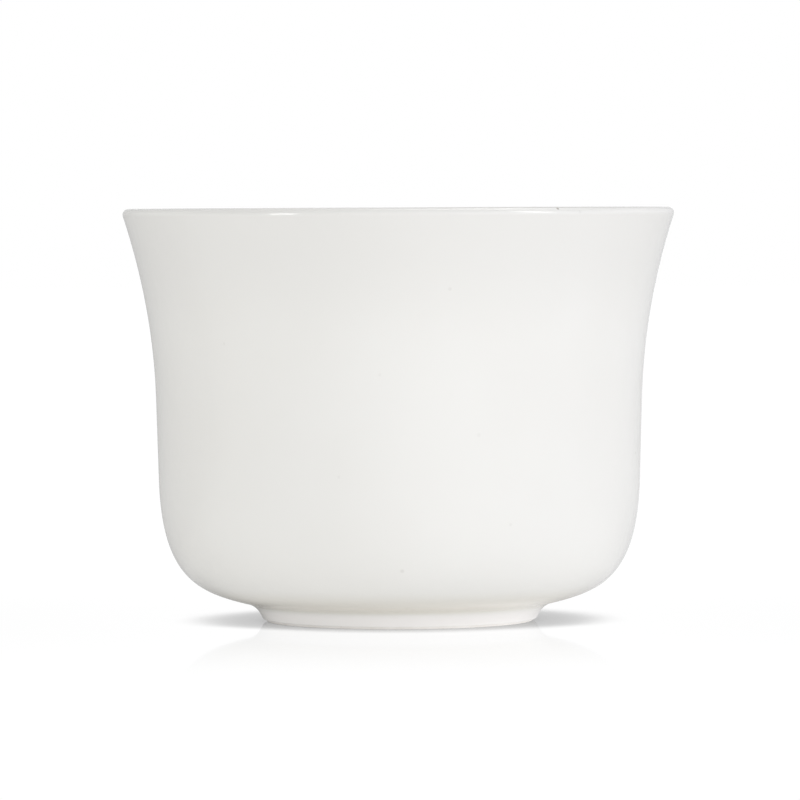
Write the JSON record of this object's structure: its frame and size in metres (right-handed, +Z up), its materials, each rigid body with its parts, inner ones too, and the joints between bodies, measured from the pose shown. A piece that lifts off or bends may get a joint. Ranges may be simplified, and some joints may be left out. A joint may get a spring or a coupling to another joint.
{
  "type": "handleless tea cup",
  "caption": "White glazed porcelain tea cup without a handle, with a flared lip, a rounded heel and a low foot ring whose standing edge is bare clay.",
  "frame": {"origin": "centre of the foot ring's standing edge, in the plane that the cup stands on", "axes": "+Z up the cup's axis towards its mouth; the cup is round, so X and Y are any two directions across it"},
  "size_m": [0.084, 0.084, 0.063],
  "materials": {
    "biscuit_clay": "bare fired porcelain clay, fine and matt, warm off-white",
    "white_glaze": "glossy warm white glaze with a few tiny iron specks",
    "base_glaze": "the same glaze, thicker and a little greyer under the base"
  },
  "bodies": {
    "root": {"cup_body": "biscuit_clay", "foot_ring": "biscuit_clay", "outer_glaze": "white_glaze", "inner_glaze": "white_glaze", "base_glaze": "base_glaze"}
  },
  "joints": []
}
